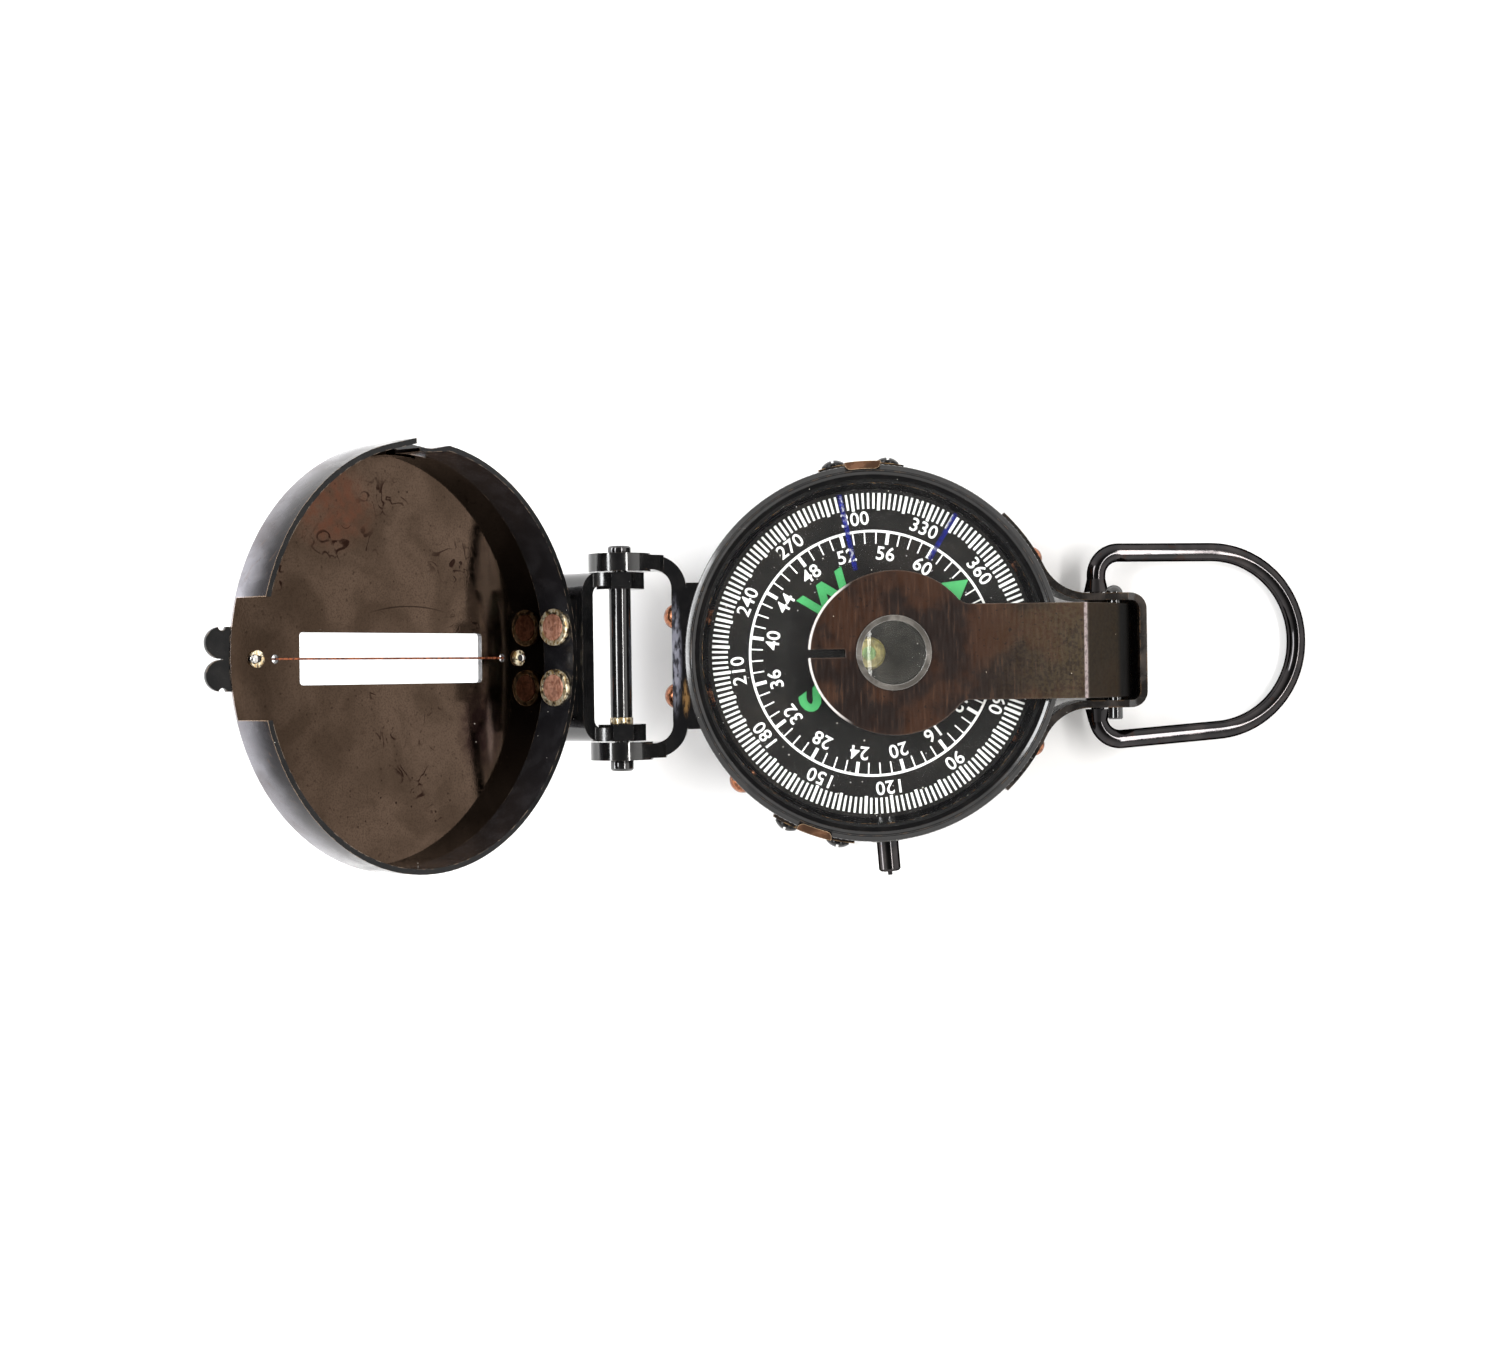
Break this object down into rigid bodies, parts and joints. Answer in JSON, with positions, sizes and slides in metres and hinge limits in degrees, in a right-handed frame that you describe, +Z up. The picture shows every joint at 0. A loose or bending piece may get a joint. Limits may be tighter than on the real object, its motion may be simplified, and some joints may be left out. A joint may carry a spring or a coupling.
{
  "type": "lensatic sighting compass",
  "caption": "Pocket sighting compass: round case with floating card and turning bezel, hinged lid with sight slot and wire, folding lens arm and carrying ring.",
  "frame": {"origin": "centre of the flat base of the round case", "axes": "+Z up out of the dial, +X from the lid hinge towards the carrying ring, +Y across"},
  "size_m": [0.1572, 0.0639, 0.0649],
  "materials": {
    "blackened_brass": "blackened, worn glossy",
    "bronzed_brass": "bronzed, stained satin",
    "brown_lacquered_brass": "brown lacquer, streaked gloss",
    "black_nickel_wire": "black nickel, gloss",
    "bright_brass": "bare brass, dull",
    "copper": "bare copper, brushed",
    "magnet_steel": "bare steel",
    "clear_glass": "polished clear",
    "black_card": "matt black, printed",
    "gasket_rubber": "matt black"
  },
  "bodies": {
    "case": {"bezel_clip_1": "blackened_brass", "bezel_clip_2": "blackened_brass", "case_body": "blackened_brass", "clip_screws": "blackened_brass", "clip_tongue_1": "copper", "clip_tongue_2": "copper", "front_bracket_rivets": "copper", "front_hinge_bracket": "blackened_brass", "hinge_pin": "blackened_brass", "hinge_pin_collar": "blackened_brass", "lens_arm_pin": "blackened_brass", "lever_pin": "magnet_steel", "lever_spring": "magnet_steel", "lever_spring_rivet": "bright_brass", "lever_stand": "bright_brass", "pivot_needle": "magnet_steel", "pivot_post": "bright_brass", "plunger_guide": "blackened_brass", "rear_bracket": "blackened_brass", "rear_bracket_rivets": "copper", "wall_rivet": "copper"},
    "lid": {"lid_shell": "bronzed_brass", "lid_hinge_bracket": "blackened_brass", "lid_bracket_rivets": "copper", "lid_rivet_washers": "bright_brass", "hinge_spacer_tube": "blackened_brass", "sight_wire": "copper", "wire_screws": "bright_brass"},
    "bezel": {"bezel_ring": "blackened_brass", "crystal_gasket": "gasket_rubber", "crystal": "clear_glass", "crystal_retaining_ring": "blackened_brass"},
    "card": {"card_disc": "black_card", "card_hub": "bright_brass", "jewel_cap": "clear_glass", "card_magnet_1": "magnet_steel", "card_magnet_2": "magnet_steel"},
    "lens_arm": {"lens_arm_plate": "brown_lacquered_brass", "lens": "clear_glass", "lens_ring": "blackened_brass"},
    "carry_ring": {"carry_ring": "black_nickel_wire"},
    "brake_plunger": {"brake_plunger": "blackened_brass", "plunger_clip": "magnet_steel"},
    "brake_lever": {"brake_lever": "bright_brass"}
  },
  "joints": [
    {"name": "lid_hinge", "type": "hinge", "parent": "case", "child": "lid", "pos_m": [-0.03775, 0, 0.0138], "axis": [0, -1, 0], "range_deg": [-128.5, 51.5]},
    {"name": "lens_arm_hinge", "type": "hinge", "parent": "case", "child": "lens_arm", "pos_m": [0.0369, 0, 0.011], "axis": [0, 1, 0], "range_deg": [0, 80]},
    {"name": "carry_ring_hinge", "type": "hinge", "parent": "case", "child": "carry_ring", "pos_m": [0.0349, 0, 0.0063], "axis": [0, -1, 0], "range_deg": [-95, 125]},
    {"name": "bezel_turn", "type": "hinge", "parent": "case", "child": "bezel", "pos_m": [0, 0, 0.017], "axis": [0, 0, 1], "continuous": true},
    {"name": "card_swing", "type": "hinge", "parent": "case", "child": "card", "pos_m": [0, 0, 0.0134], "axis": [0, 0, 1], "continuous": true},
    {"name": "plunger_push", "type": "slide", "parent": "case", "child": "brake_plunger", "axis": [-0.075, 0.9972, 0], "range_m": [0, 0.0015], "stiffness_N_per_m": 150, "springref_m": -0.003},
    {"name": "lever_lift", "type": "hinge", "parent": "case", "child": "brake_lever", "pos_m": [-0.00128, 0.01695, 0.01128], "axis": [-0.9972, -0.075, 0], "range_deg": [0, 1.2]}
  ],
  "couplings": [
    {"joint": "lever_lift", "follows": "plunger_push", "rad_per_m": 13.3}
  ]
}
